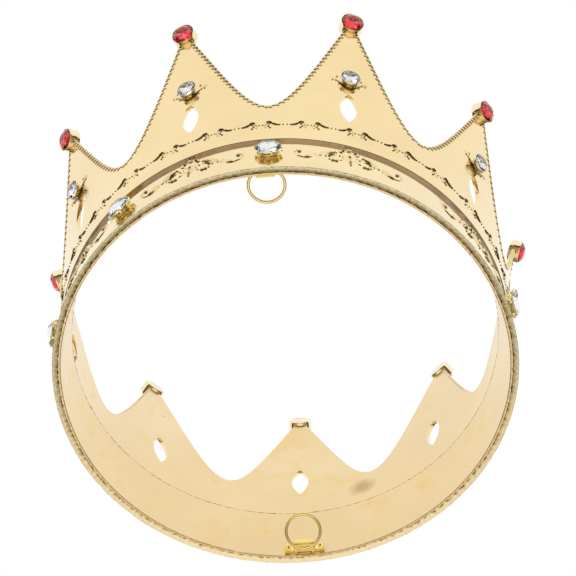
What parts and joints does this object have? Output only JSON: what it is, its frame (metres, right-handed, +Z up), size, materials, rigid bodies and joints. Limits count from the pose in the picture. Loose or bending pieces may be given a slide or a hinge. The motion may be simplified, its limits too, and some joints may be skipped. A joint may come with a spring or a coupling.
{
  "type": "crown",
  "caption": "Round costume crown for the hair: flared pointed wall on a smooth hoop, with glass stones in cups and two swinging wire rings inside the rim.",
  "frame": {"origin": "centre of the bottom rim, on the crown's axis", "axes": "+Z up to the tips, -Y out of the front, +X to the right of someone who looks at the front"},
  "size_m": [0.175, 0.1726, 0.1021],
  "materials": {
    "polished_gold": "polished pale gold plate",
    "cup_gold": "polished yellow gold plate",
    "wire_gold": "bright yellow gold plate",
    "clear_stone": "clear cut glass with a foiled back",
    "red_stone": "red cut glass with a foiled back"
  },
  "bodies": {
    "crown": {"base_band": "polished_gold", "lining_strip": "polished_gold", "crown_wall": "polished_gold", "tip_cup_1": "cup_gold", "tip_cup_2": "cup_gold", "tip_cup_3": "cup_gold", "tip_cup_4": "cup_gold", "tip_cup_5": "cup_gold", "tip_cup_6": "cup_gold", "tip_cup_7": "cup_gold", "tip_cup_8": "cup_gold", "tip_cup_9": "cup_gold", "point_cup_1": "cup_gold", "point_cup_2": "cup_gold", "point_cup_3": "cup_gold", "point_cup_4": "cup_gold", "point_cup_5": "cup_gold", "point_cup_6": "cup_gold", "point_cup_7": "cup_gold", "point_cup_8": "cup_gold", "point_cup_9": "cup_gold", "band_cup_1": "cup_gold", "band_cup_2": "cup_gold", "band_cup_3": "cup_gold", "band_cup_4": "cup_gold", "band_cup_5": "cup_gold", "band_cup_6": "cup_gold", "band_cup_7": "cup_gold", "band_cup_8": "cup_gold", "front_ring_clip": "wire_gold", "back_ring_clip": "wire_gold", "red_stone_1": "red_stone", "red_stone_2": "red_stone", "red_stone_3": "red_stone", "red_stone_4": "red_stone", "red_stone_5": "red_stone", "red_stone_6": "red_stone", "red_stone_7": "red_stone", "red_stone_8": "red_stone", "red_stone_9": "red_stone", "point_stone_1": "clear_stone", "point_stone_2": "clear_stone", "point_stone_3": "clear_stone", "point_stone_4": "clear_stone", "point_stone_5": "clear_stone", "point_stone_6": "clear_stone", "point_stone_7": "clear_stone", "point_stone_8": "clear_stone", "point_stone_9": "clear_stone", "band_stone_1": "clear_stone", "band_stone_2": "clear_stone", "band_stone_3": "clear_stone", "band_stone_4": "clear_stone", "band_stone_5": "clear_stone", "band_stone_6": "clear_stone", "band_stone_7": "clear_stone", "band_stone_8": "clear_stone"},
    "front_ring": {"front_ring": "wire_gold"},
    "back_ring": {"back_ring": "wire_gold"}
  },
  "joints": [
    {"name": "front_ring_swing", "type": "hinge", "parent": "crown", "child": "front_ring", "pos_m": [-0.00139, -0.07227, 0.0088], "axis": [0.9998, -0.0192, 0], "range_deg": [-39, 88]},
    {"name": "back_ring_swing", "type": "hinge", "parent": "crown", "child": "back_ring", "pos_m": [0.00127, 0.07289, 0.0032], "axis": [-0.9998, 0.0175, 0], "range_deg": [-53, 42]}
  ]
}
